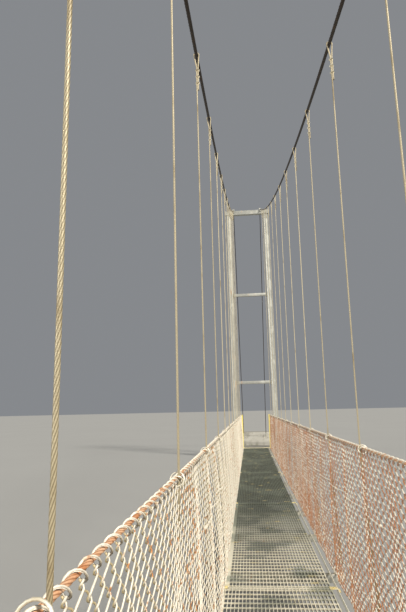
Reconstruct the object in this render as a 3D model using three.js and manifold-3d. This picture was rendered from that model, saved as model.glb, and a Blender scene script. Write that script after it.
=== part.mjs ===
// Rope suspension footbridge: a grating walkway with woven wire sides, carried by cross beams
// on wire hangers under two main cables, which run from anchor to anchor over a low near portal
// and a tall far tower.
// Millimetres, +Z up, +Y along the bridge towards the tall tower, +X to the right.
// Distances along the bridge are measured from the near end of the walkway as "run".

import * as THREE from "three";
import { mergeVertices } from "three/addons/utils/BufferGeometryUtils.js";
import Module from "manifold-3d";

const wasm = await Module();
wasm.setup();

// Gap between pieces that touch
const SEAT = 0.3;

// Walkway
const BAYS = 17;
const BAY = 1500;
const SPAN = BAYS * BAY;
const DECK_TOP = 420;
const DECK_LEFT = -530;
const DECK_RIGHT = 470;
const GRATING_DEPTH = 30;
const GRATING_RIGHT_GAP = 45;
const FIRST_PANEL = 2000;
const PANEL_LENGTH = 4000;
const PANEL_GAP = 4;

// Flat bar along each side of the walkway. The grating lies against the left one and stops
// short of the right one.
const SIDE_BAR_THICK = 5;
const SIDE_BAR_RISE = 3;

// Cross beams and hangers
const BEAM_WIDTH = 60;
const BEAM_DEPTH = 80;
const BEAM_HALF_LENGTH = 630;
const HANGER_X = 590;
const HANGER_RADIUS = 6;
const HANGER_SIDES = 6;

// Main cables: height of the centre line above the walkway is a parabola in the run
const CABLE_RADIUS = 16;
const CABLE_SIDES = 8;
const CABLE_REFERENCE_RUN = 12065;
const CABLE_REFERENCE_HEIGHT = 5410;
const CABLE_REFERENCE_SLOPE = 0.25;
const CABLE_BEND = 7.4e-6;
const SADDLE_REACH = 350;
const SADDLE_STEPS = 6;
const STAY_COUPLING = 40;

// Handrail cables and side nets
const RAIL_HEIGHT = 1275;
const RAIL_RADIUS = 8;
const RAIL_SIDES = 8;
const RAIL_X = HANGER_X - HANGER_RADIUS - RAIL_RADIUS - SEAT;
const RAIL_END = 60;
const NET_THICK = 8;
const NET_FOOT_X = 540;

// End frames: a sill plate with a square post at each end
const POST_SIZE = 50;
const POST_TOP = 1300;
const SILL_HALF_LENGTH = 600;
const SILL_WIDTH = 60;
const SILL_THICK = 12;

// Abutments
const ABUTMENT_LENGTH = 1500;
const ABUTMENT_HALF_WIDTH = 1100;
const LEDGE_LENGTH = 160;

// Portal and tower
const TOWER_SETBACK = 450;
const COLUMN_X = 820;
const COLUMN_SIDES = 12;
const NEAR_COLUMN_RADIUS = 80;
const FAR_COLUMN_RADIUS = 110;
const FOOT_PLATE = { size: 320, thick: 20 };
const TOP_BEAM = { width: 180, depth: 180, halfLength: 960 };
const SADDLE_BLOCK = { width: 90, length: 240, drop: 70 };
const TIE_SIZE = 120;
const FAR_TIE_HEIGHTS = { lower: 2550, middle: 6300 };

// Anchor blocks: the cable meets the sloping face square
const ANCHOR_HALF_WIDTH = 950;
const ANCHOR_HEIGHT = 700;
const ANCHOR_NOSE = 250;
const NEAR_BACKSTAY_DEGREES = 48;
const FAR_BACKSTAY_DEGREES = 58;
const ANCHOR_REAR = 800;

const concrete = new THREE.MeshStandardMaterial({ color: 0x9a978c, roughness: 0.95, metalness: 0 });
const galvanised = new THREE.MeshStandardMaterial({ color: 0xa9a79c, roughness: 0.55, metalness: 0.8 });
const darkCable = new THREE.MeshStandardMaterial({ color: 0x2a2522, roughness: 0.7, metalness: 0.5 });
const paleRope = new THREE.MeshStandardMaterial({ color: 0xbdb195, roughness: 0.6, metalness: 0.5 });
const rustyCable = new THREE.MeshStandardMaterial({ color: 0xa8683c, roughness: 0.8, metalness: 0.3 });
const creamNet = new THREE.MeshStandardMaterial({ color: 0xd9cfb8, roughness: 0.6, metalness: 0.5 });
const rustyNet = new THREE.MeshStandardMaterial({ color: 0x9c7656, roughness: 0.8, metalness: 0.3 });
const gratingSteel = new THREE.MeshStandardMaterial({ color: 0x6f7264, roughness: 0.6, metalness: 0.6 });
const sunlitSteel = new THREE.MeshStandardMaterial({ color: 0xc9b264, roughness: 0.6, metalness: 0.3 });

const nearTowerRun = -TOWER_SETBACK;
const farTowerRun = SPAN + TOWER_SETBACK;
const beamTop = DECK_TOP - GRATING_DEPTH - SEAT;
const railZ = DECK_TOP + RAIL_HEIGHT;
const sides = [
  { name: "left", sign: -1, net: creamNet },
  { name: "right", sign: 1, net: rustyNet },
];

function cableHeight(run) {
  const away = run - CABLE_REFERENCE_RUN;
  return DECK_TOP + CABLE_REFERENCE_HEIGHT + CABLE_REFERENCE_SLOPE * away + CABLE_BEND * away * away;
}

function cableSlope(run) {
  return CABLE_REFERENCE_SLOPE + 2 * CABLE_BEND * (run - CABLE_REFERENCE_RUN);
}

// The face of an anchor block that its cables meet: middle of the face, in run and height
function anchorFace(towerRun, degrees, away) {
  const slope = Math.tan(THREE.MathUtils.degToRad(degrees));
  const z = (ANCHOR_HEIGHT + ANCHOR_NOSE) / 2;
  return { run: towerRun + (away * (cableHeight(towerRun) - z)) / slope, z, slope, away };
}

const nearFace = anchorFace(nearTowerRun, NEAR_BACKSTAY_DEGREES, -1);
const farFace = anchorFace(farTowerRun, FAR_BACKSTAY_DEGREES, 1);
const faceReach = (face) => ((ANCHOR_HEIGHT - ANCHOR_NOSE) / 2) * face.slope;
const nearRear = nearFace.run - faceReach(nearFace) - ANCHOR_REAR;
const farRear = farFace.run + faceReach(farFace) + ANCHOR_REAR;
const middleRun = (nearRear + farRear) / 2;

// A curve that stops at the given points only, so a tube along it has one section at each
class RopeRoute extends THREE.Curve {
  constructor(points) {
    super();
    this.points = points;
  }
  getPoint(share) {
    const place = share * (this.points.length - 1);
    const from = Math.min(Math.floor(place), this.points.length - 2);
    return this.points[from].clone().lerp(this.points[from + 1], place - from);
  }
  getPointAt(share) {
    return this.getPoint(share);
  }
  getSpacedPoints() {
    return this.points;
  }
  getTangentAt(share) {
    const last = this.points.length - 1;
    const at = Math.round(share * last);
    const before = this.points[Math.max(at - 1, 0)];
    const after = this.points[Math.min(at + 1, last)];
    return after.clone().sub(before).normalize();
  }
}

// A many-sided ring whose flats lie at the radius
function ringShape(radius, sideCount) {
  const reach = radius / Math.cos(Math.PI / sideCount);
  const corners = [];
  for (let i = 0; i < sideCount; i++) {
    const angle = ((i + 0.5) * 2 * Math.PI) / sideCount;
    corners.push(new THREE.Vector2(reach * Math.cos(angle), reach * Math.sin(angle)));
  }
  return new THREE.Shape(corners);
}

function tube(points, radius, sideCount) {
  return new THREE.ExtrudeGeometry(ringShape(radius, sideCount), {
    steps: points.length - 1,
    bevelEnabled: false,
    extrudePath: new RopeRoute(points),
  });
}

// A box from its lowest and highest corners
function block(low, high) {
  const size = high.map((value, i) => value - low[i]);
  return new THREE.BoxGeometry(...size).translate(
    ...low.map((value, i) => value + size[i] / 2),
  );
}

// An upright prism with a flat side facing along X
function upright(x, y, bottom, top, radius, sideCount) {
  const turn = sideCount % 4 === 0 ? Math.PI / sideCount : 0;
  return new THREE.CylinderGeometry(radius, radius, top - bottom, sideCount)
    .rotateY(turn)
    .rotateX(Math.PI / 2)
    .translate(x, y, (bottom + top) / 2);
}

// A profile in run and height, extruded across the bridge
function acrossProfile(points, halfWidth) {
  const shape = new THREE.Shape(points.map(([run, z]) => new THREE.Vector2(run, z)));
  return new THREE.ExtrudeGeometry(shape, { depth: 2 * halfWidth, bevelEnabled: false })
    .rotateX(Math.PI / 2)
    .rotateZ(Math.PI / 2)
    .translate(-halfWidth, 0, 0);
}

// A profile in X and height, extruded along the bridge
function alongProfile(points, fromRun, toRun) {
  const shape = new THREE.Shape(points.map(([x, z]) => new THREE.Vector2(x, z)));
  return new THREE.ExtrudeGeometry(shape, { depth: toRun - fromRun, bevelEnabled: false })
    .rotateX(Math.PI / 2)
    .translate(0, toRun, 0);
}

function solidOf(geometry) {
  const bare = geometry.clone();
  bare.deleteAttribute("normal");
  bare.deleteAttribute("uv");
  const merged = mergeVertices(bare, 1e-3);
  return new wasm.Manifold(
    new wasm.Mesh({
      numProp: 3,
      vertProperties: new Float32Array(merged.attributes.position.array),
      triVerts: new Uint32Array(merged.index.array),
    }),
  );
}

function geometryOf(solid) {
  const mesh = solid.getMesh();
  const geometry = new THREE.BufferGeometry();
  geometry.setAttribute("position", new THREE.BufferAttribute(mesh.vertProperties, 3));
  geometry.setIndex(new THREE.BufferAttribute(mesh.triVerts, 1));
  return geometry.toNonIndexed();
}

function joined(geometries) {
  return geometries.map(solidOf).reduce((whole, next) => whole.add(next));
}

const bridge = new THREE.Group();
bridge.name = "rope_suspension_footbridge";
const spans = new THREE.Group();
spans.position.y = -middleRun;
bridge.add(spans);

function piece(name, geometry, material) {
  geometry.computeVertexNormals();
  const mesh = new THREE.Mesh(geometry, material);
  mesh.name = name;
  spans.add(mesh);
  return mesh;
}

const spanPoint = (x, run) => new THREE.Vector3(x, run, cableHeight(run));

// A point on a backstay's line, at a reach from the top of its tower
function backstayPoint(x, towerRun, face, reach) {
  const along = reach / Math.hypot(1, face.slope);
  const z = cableHeight(towerRun) - along * face.slope;
  return new THREE.Vector3(x, towerRun + face.away * along, z);
}

// Bend of a cable over a tower, from the backstay's side to the span's
function saddlePoints(x, towerRun, face) {
  const bend = new THREE.QuadraticBezierCurve3(
    backstayPoint(x, towerRun, face, SADDLE_REACH),
    spanPoint(x, towerRun),
    spanPoint(x, towerRun - face.away * SADDLE_REACH),
  );
  return bend.getPoints(SADDLE_STEPS);
}

// The hanging span with its bend over each tower, as far as the couplings of the backstays
function spanCablePoints(x) {
  const coupling = (towerRun, face) =>
    backstayPoint(x, towerRun, face, SADDLE_REACH + STAY_COUPLING);
  const points = [coupling(nearTowerRun, nearFace), ...saddlePoints(x, nearTowerRun, nearFace)];
  for (let half = 0; half <= 2 * BAYS; half++) points.push(spanPoint(x, (half * BAY) / 2));
  points.push(...saddlePoints(x, farTowerRun, farFace).reverse());
  points.push(coupling(farTowerRun, farFace));
  return points;
}

// The straight stay from a tower's bend to the face of its anchor block
function backstayPoints(x, towerRun, face) {
  const whole = (cableHeight(towerRun) - face.z) * Math.hypot(1, 1 / face.slope);
  return [
    backstayPoint(x, towerRun, face, SADDLE_REACH + STAY_COUPLING + SEAT),
    backstayPoint(x, towerRun, face, whole - SEAT),
  ];
}

function addMainCables() {
  const cable = (points) => tube(points, CABLE_RADIUS, CABLE_SIDES);
  for (const { name, sign } of sides) {
    const x = sign * HANGER_X;
    piece(name + "_main_cable", cable(spanCablePoints(x)), darkCable);
    piece(name + "_near_backstay", cable(backstayPoints(x, nearTowerRun, nearFace)), darkCable);
    piece(name + "_far_backstay", cable(backstayPoints(x, farTowerRun, farFace)), darkCable);
  }
}

// A cross beam with the two hangers that carry it, up to the underside of the main cables
function addHangerSets() {
  for (let station = 1; station < BAYS; station++) {
    const run = station * BAY;
    const slope = cableSlope(run);
    const underside = cableHeight(run) - CABLE_RADIUS * Math.hypot(1, slope);
    const hangerTop = underside - slope * HANGER_RADIUS - SEAT;
    const parts = [
      block([-BEAM_HALF_LENGTH, run - BEAM_WIDTH / 2, beamTop - BEAM_DEPTH],
        [BEAM_HALF_LENGTH, run + BEAM_WIDTH / 2, beamTop]),
    ];
    for (const { sign } of sides) {
      const x = sign * HANGER_X;
      parts.push(
        upright(x, run, beamTop - BEAM_DEPTH / 2, hangerTop, HANGER_RADIUS, HANGER_SIDES),
      );
    }
    const number = String(station).padStart(2, "0");
    piece("cross_beam_and_hangers_" + number, geometryOf(joined(parts)), paleRope);
  }
}

function addWalkway() {
  const joints = [0];
  for (let run = FIRST_PANEL; run < SPAN; run += PANEL_LENGTH) joints.push(run);
  joints.push(SPAN);
  for (let number = 1; number < joints.length; number++) {
    const from = joints[number - 1] + PANEL_GAP / 2;
    const to = joints[number] - PANEL_GAP / 2;
    piece(
      "grating_panel_" + number,
      block([DECK_LEFT + SEAT, from, DECK_TOP - GRATING_DEPTH],
        [DECK_RIGHT - GRATING_RIGHT_GAP, to, DECK_TOP]),
      gratingSteel,
    );
  }
  const barFaces = {
    left: [DECK_LEFT - SIDE_BAR_THICK, DECK_LEFT],
    right: [DECK_RIGHT, DECK_RIGHT + SIDE_BAR_THICK],
  };
  for (const [name, faces] of Object.entries(barFaces)) {
    piece(
      name + "_deck_side_bar",
      block([faces[0], SEAT, DECK_TOP - GRATING_DEPTH],
        [faces[1], SPAN - SEAT, DECK_TOP + SIDE_BAR_RISE]),
      galvanised,
    );
  }
}

function addHandrailsAndNets() {
  const netTop = railZ - RAIL_RADIUS - SEAT;
  const netFoot = beamTop + SEAT;
  for (const { name, sign, net } of sides) {
    const ends = [-RAIL_END, SPAN + RAIL_END].map(
      (run) => new THREE.Vector3(sign * RAIL_X, run, railZ),
    );
    piece(name + "_handrail_cable", tube(ends, RAIL_RADIUS, RAIL_SIDES), rustyCable);
    const profile = [
      [sign * (NET_FOOT_X - NET_THICK / 2), netFoot],
      [sign * (NET_FOOT_X + NET_THICK / 2), netFoot],
      [sign * (RAIL_X + NET_THICK / 2), netTop],
      [sign * (RAIL_X - NET_THICK / 2), netTop],
    ];
    piece(name + "_side_net", alongProfile(profile, 0, SPAN), net);
  }
}

function addEndFrames() {
  const postX = RAIL_X - RAIL_RADIUS - SEAT - POST_SIZE / 2;
  for (const { name, front, away } of [
    { name: "near", front: -SEAT, away: -1 },
    { name: "far", front: SPAN + SEAT, away: 1 },
  ]) {
    const back = front + away * POST_SIZE;
    const sillBack = front + away * SILL_WIDTH;
    const low = Math.min(front, back);
    const high = Math.max(front, back);
    const parts = [
      block([-SILL_HALF_LENGTH, Math.min(front, sillBack), DECK_TOP + SEAT],
        [SILL_HALF_LENGTH, Math.max(front, sillBack), DECK_TOP + SEAT + SILL_THICK]),
    ];
    for (const { sign } of sides) {
      const x = sign * postX;
      parts.push(
        block([x - POST_SIZE / 2, low, DECK_TOP + SEAT + SILL_THICK / 2],
          [x + POST_SIZE / 2, high, DECK_TOP + POST_TOP]),
      );
    }
    piece(name + "_end_frame", geometryOf(joined(parts)), sunlitSteel);
  }
}

function addAbutments() {
  const profile = (front, away) => [
    [front, 0],
    [front, DECK_TOP],
    [front + away * ABUTMENT_LENGTH, DECK_TOP],
    [front + away * ABUTMENT_LENGTH, 0],
  ];
  for (const { name, front, away } of [
    { name: "near", front: -SEAT, away: -1 },
    { name: "far", front: SPAN + SEAT, away: 1 },
  ]) {
    const corners = profile(front, away);
    corners.splice(1, 0,
      [front - away * LEDGE_LENGTH, 0],
      [front - away * LEDGE_LENGTH, beamTop],
      [front, beamTop]);
    corners.splice(0, 1);
    piece(name + "_abutment", acrossProfile(corners, ABUTMENT_HALF_WIDTH), concrete);
  }
}

function addAnchorBlocks() {
  for (const [name, face] of [["near", nearFace], ["far", farFace]]) {
    const reach = faceReach(face);
    const rear = face.run + face.away * (reach + ANCHOR_REAR);
    const corners = [
      [rear, 0],
      [face.run - face.away * reach, 0],
      [face.run - face.away * reach, ANCHOR_NOSE],
      [face.run + face.away * reach, ANCHOR_HEIGHT],
      [rear, ANCHOR_HEIGHT],
    ];
    piece(name + "_anchor_block", acrossProfile(corners, ANCHOR_HALF_WIDTH), concrete);
  }
}

// Top beam with a saddle block under each main cable, hollowed to the cable
function saddleBeam(towerRun, face, beamTopZ) {
  const parts = [
    block([-TOP_BEAM.halfLength, towerRun - TOP_BEAM.width / 2, beamTopZ - TOP_BEAM.depth],
      [TOP_BEAM.halfLength, towerRun + TOP_BEAM.width / 2, beamTopZ]),
  ];
  for (const { sign } of sides) {
    const x = sign * HANGER_X;
    parts.push(
      block([x - SADDLE_BLOCK.width / 2, towerRun - SADDLE_BLOCK.length / 2,
        beamTopZ - TOP_BEAM.depth / 2],
      [x + SADDLE_BLOCK.width / 2, towerRun + SADDLE_BLOCK.length / 2,
        beamTopZ + SADDLE_BLOCK.drop]),
    );
  }
  let beam = joined(parts);
  for (const { sign } of sides) {
    const route = saddlePoints(sign * HANGER_X, towerRun, face);
    beam = beam.subtract(solidOf(tube(route, CABLE_RADIUS + SEAT, CABLE_SIDES)));
    const roof = block(
      [sign * HANGER_X - CABLE_RADIUS - SEAT, towerRun - SADDLE_BLOCK.length,
        cableHeight(towerRun) - CABLE_RADIUS / 2],
      [sign * HANGER_X + CABLE_RADIUS + SEAT, towerRun + SADDLE_BLOCK.length,
        cableHeight(towerRun) + SADDLE_BLOCK.drop]);
    beam = beam.subtract(solidOf(roof));
  }
  return geometryOf(beam);
}

function addTower(name, towerRun, face, radius, tieHeights) {
  const beamTopZ = cableHeight(towerRun) - SADDLE_BLOCK.drop;
  const columnTop = beamTopZ - TOP_BEAM.depth - SEAT;
  const flat = radius * Math.cos(Math.PI / COLUMN_SIDES);
  for (const side of sides) {
    const x = side.sign * COLUMN_X;
    const foot = DECK_TOP + SEAT;
    const plate = block(
      [x - FOOT_PLATE.size / 2, towerRun - FOOT_PLATE.size / 2, foot],
      [x + FOOT_PLATE.size / 2, towerRun + FOOT_PLATE.size / 2, foot + FOOT_PLATE.thick]);
    const column = upright(x, towerRun, foot + FOOT_PLATE.thick / 2, columnTop, radius, COLUMN_SIDES);
    piece(name + "_" + side.name + "_column", geometryOf(joined([plate, column])), galvanised);
  }
  piece(name + "_top_beam", saddleBeam(towerRun, face, beamTopZ), galvanised);
  const tieHalf = COLUMN_X - flat - SEAT;
  for (const [level, height] of Object.entries(tieHeights)) {
    piece(
      name + "_" + level + "_tie_beam",
      block([-tieHalf, towerRun - TIE_SIZE / 2, DECK_TOP + height],
        [tieHalf, towerRun + TIE_SIZE / 2, DECK_TOP + height + TIE_SIZE]),
      galvanised,
    );
  }
}

addMainCables();
addHangerSets();
addWalkway();
addHandrailsAndNets();
addEndFrames();
addAbutments();
addAnchorBlocks();
addTower("near_portal", nearTowerRun, nearFace, NEAR_COLUMN_RADIUS, {});
addTower("far_tower", farTowerRun, farFace, FAR_COLUMN_RADIUS, FAR_TIE_HEIGHTS);

export default bridge;
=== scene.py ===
"""Looks of a rope suspension footbridge, built around its packed frame.

Metres, +Z up, +Y along the walkway towards the tall tower. A place along the bridge is given as its
"run", measured from the near end of the walkway.
"""

import math

import bmesh
import bpy
from mathutils import Matrix, Vector


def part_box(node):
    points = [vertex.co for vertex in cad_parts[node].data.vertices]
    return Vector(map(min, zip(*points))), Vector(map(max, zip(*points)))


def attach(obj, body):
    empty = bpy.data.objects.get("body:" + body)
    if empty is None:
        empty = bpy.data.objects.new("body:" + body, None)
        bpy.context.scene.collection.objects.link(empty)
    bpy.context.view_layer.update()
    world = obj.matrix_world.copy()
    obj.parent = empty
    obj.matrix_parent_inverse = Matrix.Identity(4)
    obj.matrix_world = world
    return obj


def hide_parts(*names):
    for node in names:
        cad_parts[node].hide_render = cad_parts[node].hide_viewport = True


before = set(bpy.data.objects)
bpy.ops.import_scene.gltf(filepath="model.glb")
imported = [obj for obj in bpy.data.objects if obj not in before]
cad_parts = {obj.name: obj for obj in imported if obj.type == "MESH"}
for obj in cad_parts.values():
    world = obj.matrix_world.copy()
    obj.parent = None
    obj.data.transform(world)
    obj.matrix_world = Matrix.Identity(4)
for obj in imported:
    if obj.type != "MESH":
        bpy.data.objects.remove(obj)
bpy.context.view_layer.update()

bl_info = {
    "name": "Rope Suspension Footbridge",
    "version": (1, 0, 0),
    "blender": (4, 5, 0),
    "location": "View3D > Sidebar > Footbridge",
    "description": "Models the ropes, nets, grating, fittings and finishes of a rope suspension footbridge",
    "category": "Object",
}

# Sides, corners and directions
SIDES = (("left", -1), ("right", 1))
CORNERS = tuple((first, second) for first in (-1, 1) for second in (-1, 1))
ACROSS, ALONG, UP = (1, 0, 0), (0, 1, 0), (0, 0, 1)

# Walkway. The fourth panel has a plate along its left edge, and the panels after it are painted dark
# grey-green: painted shade over the far walkway.
WALK_LOW, WALK_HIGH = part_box("grating_panel_1")
PANEL_GAP = 0.004
WALK_START = WALK_LOW.y - PANEL_GAP / 2
WALK_TOP = WALK_HIGH.z
WALK_BOTTOM = WALK_LOW.z
PANELS = tuple(f"grating_panel_{number}" for number in range(1, 8))
PLATED_PANEL = 4
WALK_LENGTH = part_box(PANELS[-1])[1].y + PANEL_GAP / 2 - WALK_START
BAY = 1.5
BAYS = round(WALK_LENGTH / BAY)
STATIONS = range(1, BAYS)

# Cross beams, with a pin over each end for a hanger
BEAM_NODES = tuple(f"cross_beam_and_hangers_{station:02d}" for station in STATIONS)
BEAM_WIDTH = 0.06
BEAM_DEPTH = 0.08
BEAM_TOP = WALK_BOTTOM - 0.0003
PIN_Z = BEAM_TOP + 0.045

# Handrail cables: how far each stands out between its end posts, and the run over which it gets there
RAIL_LOW, RAIL_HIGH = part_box("right_handrail_cable")
RAIL_X = (RAIL_LOW.x + RAIL_HIGH.x) / 2
RAIL_Z = (RAIL_LOW.z + RAIL_HIGH.z) / 2
RAIL_OUT = {-1: 0.018, 1: 0.0}
RAIL_EASING = 1.2

# Hangers: the rope's middle lies a touch inside the handrail cable's, and its two parts a pair apart. Clips
# sit over the pin and under the main cable. A lashing has two turns, each a lean, a radius and a rise, and
# every second one has slipped.
ROPE_TOUCH = 0.0145
ROPE_PAIR = 0.0125
CLIP_SIZE = 0.0105
LOW_CLIPS = (0.11, 0.19)
HIGH_CLIPS = (0.28, 0.215, 0.15)
LASHING_TURNS = ((0.35, 0.032, -0.004), (-0.9, 0.026, -0.008))
LASHING_SLIP = -0.045

# Nets, from the underside of the walkway to just under the handrail cables. The wires' heights are shares
# of a net's height, and a net hangs tightest at the tight run.
NET_FOOT = WALK_BOTTOM
NET_FOOT_X = 0.54
NET_INWARD = 0.008
NET_TOPS = {-1: RAIL_Z - 0.019, 1: RAIL_Z - 0.012}
TIGHT_RUN = 7.2
FOOT_WIRE_HEIGHT = 0.005
LEVEL_HEIGHTS = (0.2, 0.43, 0.67)

# Lacing wire: its coil's radius, and how far its middle lies inside and below the handrail cable's
LACING_RADIUS = {-1: 0.0165, 1: 0.014}
LACING_INWARD = {-1: 0.004, 1: 0.001}
LACING_DROP = {-1: 0.0035, 1: 0.0}

# Main cables: each centre line is a parabola in the run, in height above the walkway
CABLE_X = sum(corner.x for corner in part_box("right_main_cable")) / 2
CABLE_MIDDLE_RUN = 12.065
CABLE_MIDDLE_HEIGHT = 5.41
CABLE_MIDDLE_SLOPE = 0.25
CABLE_BEND = 0.0074
TOWER_SETBACK = 0.45
NEAR_TOWER_RUN = -TOWER_SETBACK
FAR_TOWER_RUN = WALK_LENGTH + TOWER_SETBACK
SADDLE_REACH = 0.35
BACKSTAY_SLOPES = {"near": math.tan(math.radians(48)), "far": math.tan(math.radians(58))}
ANCHOR_FACE_HEIGHT = 0.475

# End frames' posts and sills, and the towers' pipes and foot plates
POST_X = 0.5424
POST_HALF = 0.025
SILL_THICK = 0.012
PIPE_RADII = {"near": 0.08, "far": 0.11}
FOOT_PLATE = 0.02


def y_of(run):
    """Place along Y of a run."""
    return WALK_START + run


def runs_every(step):
    """Runs from one end of the walkway to the other, a step apart."""
    return [step * index for index in range(round(WALK_LENGTH / step) + 1)]


def cable_height(run):
    """Height of a main cable's centre line over the ground, at a run."""
    away = run - CABLE_MIDDLE_RUN
    return WALK_TOP + CABLE_MIDDLE_HEIGHT + CABLE_MIDDLE_SLOPE * away + CABLE_BEND * away * away


def rail_x(side, run):
    """Place of a handrail cable across the bridge. It eases outwards from its end posts."""
    share = min(max(min(run, WALK_LENGTH - run) / RAIL_EASING, 0.0), 1.0)
    return side * (RAIL_X + RAIL_OUT[side] * share * share * (3 - 2 * share))


# Shapes


class Route:
    """A flat line through given points that shapes can be bent along. Its side direction stays fixed."""

    def __init__(self, points, side):
        self.points = [Vector(point) for point in points]
        self.side = Vector(side)
        self.lengths = [0.0]
        for before, after in zip(self.points, self.points[1:]):
            self.lengths.append(self.lengths[-1] + (after - before).length)
        self.length = self.lengths[-1]

    def frame_at(self, distance):
        """Point on the line and its forward direction, at a distance from the start."""
        index = 0
        last = len(self.points) - 2
        while index < last and self.lengths[index + 1] < distance:
            index += 1
        before, after = self.points[index], self.points[index + 1]
        forward = (after - before).normalized()
        return before + forward * (distance - self.lengths[index]), forward

    def smooth_forward(self, distance, reach):
        """Forward direction averaged over a short reach, so that bends have no kinks."""
        start, _ = self.frame_at(max(distance - reach, 0.0))
        end, _ = self.frame_at(min(distance + reach, self.length))
        return (end - start).normalized()

    def bend(self, vertices, reach):
        """Moves vertices that stand along Z onto the line: X goes to the side, Y to the line's normal."""
        frames = {}
        for vertex in vertices:
            key = round(vertex.co.z, 5)
            if key not in frames:
                point, _ = self.frame_at(key)
                forward = self.smooth_forward(key, reach)
                frames[key] = (point, forward.cross(self.side).normalized())
            point, normal = frames[key]
            vertex.co = point + self.side * vertex.co.x + normal * vertex.co.y


def arc(centre, radius, start, end, steps, across, up):
    """Points on an arc in the plane of two directions. Angles are in degrees from across towards up."""
    centre, across, up = Vector(centre), Vector(across), Vector(up)
    angles = [math.radians(start + (end - start) * step / steps) for step in range(steps + 1)]
    return [centre + across * radius * math.cos(angle) + up * radius * math.sin(angle) for angle in angles]


def vertices_in(items):
    """The vertices among what a bmesh operator gives back."""
    return [item for item in items if isinstance(item, bmesh.types.BMVert)]


def edges_at(vertices):
    """Edges at some vertices, each once and always in the same order."""
    return list(dict.fromkeys(edge for vertex in vertices for edge in vertex.link_edges))


def whole(vertices):
    """Vertices with the edges and faces at them, each once and always in the same order."""
    items = (item for vertex in vertices for item in (vertex, *vertex.link_edges, *vertex.link_faces))
    return list(dict.fromkeys(items))


def fill_ends(mesh):
    """Closes every open end of the shapes in a mesh."""
    open_edges = [edge for edge in mesh.edges if edge.is_boundary]
    bmesh.ops.holes_fill(mesh, edges=open_edges, sides=0)


def ease(mesh, edges, bevel, segments):
    """Takes the sharpness off edges."""
    bmesh.ops.bevel(
        mesh, geom=edges, offset=bevel, offset_type="OFFSET", segments=segments,
        profile=0.5, affect="EDGES", material=-1, clamp_overlap=True,
    )


def copy(mesh, shape, step):
    """Copies a shape a step away. Returns the copy."""
    made = bmesh.ops.duplicate(mesh, geom=shape)["geom"]
    bmesh.ops.translate(mesh, vec=Vector(step), verts=vertices_in(made))
    return made


def repeat(mesh, shape, step, count):
    """Copies a shape until there are count of it, each a step further on, by doubling what is there."""
    everything = list(shape)
    have = 1
    for bit in bin(count)[3:]:
        everything += copy(mesh, everything, Vector(step) * have)
        have *= 2
        if bit == "1":
            everything += copy(mesh, shape, Vector(step) * have)
            have += 1


def twist(mesh, profile, pitch, turns, steps):
    """Winds a profile about Z, a pitch higher with each turn."""
    bmesh.ops.spin(
        mesh, geom=profile + edges_at(profile), cent=(0, 0, 0), axis=UP,
        dvec=(0, 0, pitch / steps), angle=2 * math.pi, steps=steps,
    )
    repeat(mesh, whole(mesh.verts), (0, 0, pitch), turns)
    bmesh.ops.remove_doubles(mesh, verts=mesh.verts, dist=pitch / steps / 50)


def add_to(mesh, other):
    """Moves the shapes of another mesh into this one."""
    data = bpy.data.meshes.new("part")
    other.to_mesh(data)
    other.free()
    mesh.from_mesh(data)
    bpy.data.meshes.remove(data)


def laid_rope(route, radius, lay, smoothing, strands=6, rings_per_lay=8, groove=0.86):
    """A mesh of a rope of twisted strands that follows a route, with its grooves marked for the finish."""
    mesh = bmesh.new()
    depth = mesh.verts.layers.float.new("groove")
    profile = bmesh.ops.create_circle(mesh, segments=2 * strands, radius=radius)["verts"]
    profile.sort(key=lambda vertex: math.atan2(vertex.co.y, vertex.co.x))
    for vertex in profile[::2]:
        vertex.co *= groove
        vertex[depth] = 1.0
    turns = max(1, round(route.length / lay))
    twist(mesh, profile, route.length / turns, turns, rings_per_lay)
    route.bend(mesh.verts, smoothing)
    fill_ends(mesh)
    return mesh


def wire(mesh, points, radius, sides, side):
    """A round wire through given points, its section turned to a side direction. Returns its vertices."""
    points = [Vector(point) for point in points]
    made = bmesh.ops.create_circle(mesh, segments=sides, radius=radius)["verts"]
    flat = [vertex.co.copy() for vertex in made]
    across = Vector(side)
    everything = list(made)
    for index, point in enumerate(points):
        before = points[max(index - 1, 0)]
        after = points[min(index + 1, len(points) - 1)]
        forward = (after - before).normalized()
        across = (across - forward * across.dot(forward)).normalized()
        normal = forward.cross(across)
        if index:
            rim = [edge for edge in edges_at(made) if all(vertex in made for vertex in edge.verts)]
            grown = bmesh.ops.extrude_edge_only(mesh, edges=rim)["geom"]
            partner = {}
            for vertex in vertices_in(grown):
                for edge in vertex.link_edges:
                    partner[edge.other_vert(vertex)] = vertex
            made = [partner[vertex] for vertex in made]
            everything += made
        for vertex, place in zip(made, flat):
            vertex.co = point + across * place.x + normal * place.y
    return everything


def box(mesh, corner, opposite, bevel=0.0, segments=1):
    """A box between two opposite corners, with its edges eased. Returns its vertices."""
    corner, opposite = Vector(corner), Vector(opposite)
    size = [abs(length) for length in opposite - corner]
    place = Matrix.Translation((corner + opposite) / 2) @ Matrix.Diagonal((*size, 1))
    before = set(mesh.verts)
    made = bmesh.ops.create_cube(mesh, size=1, matrix=place)["verts"]
    if bevel:
        ease(mesh, edges_at(made), bevel, segments)
        made = [vertex for vertex in mesh.verts if vertex not in before]
    return made


def rod(mesh, start, end, radius, sides, end_radius=None):
    """A round or many-sided bar between two points. Returns its vertices."""
    start, end = Vector(start), Vector(end)
    along = end - start
    turn = along.to_track_quat("Z", "Y").to_matrix().to_4x4()
    made = bmesh.ops.create_cone(
        mesh,
        cap_ends=True,
        segments=sides,
        radius1=radius,
        radius2=radius if end_radius is None else end_radius,
        depth=along.length,
        matrix=Matrix.Translation((start + end) / 2) @ turn,
    )
    return made["verts"]


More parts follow.
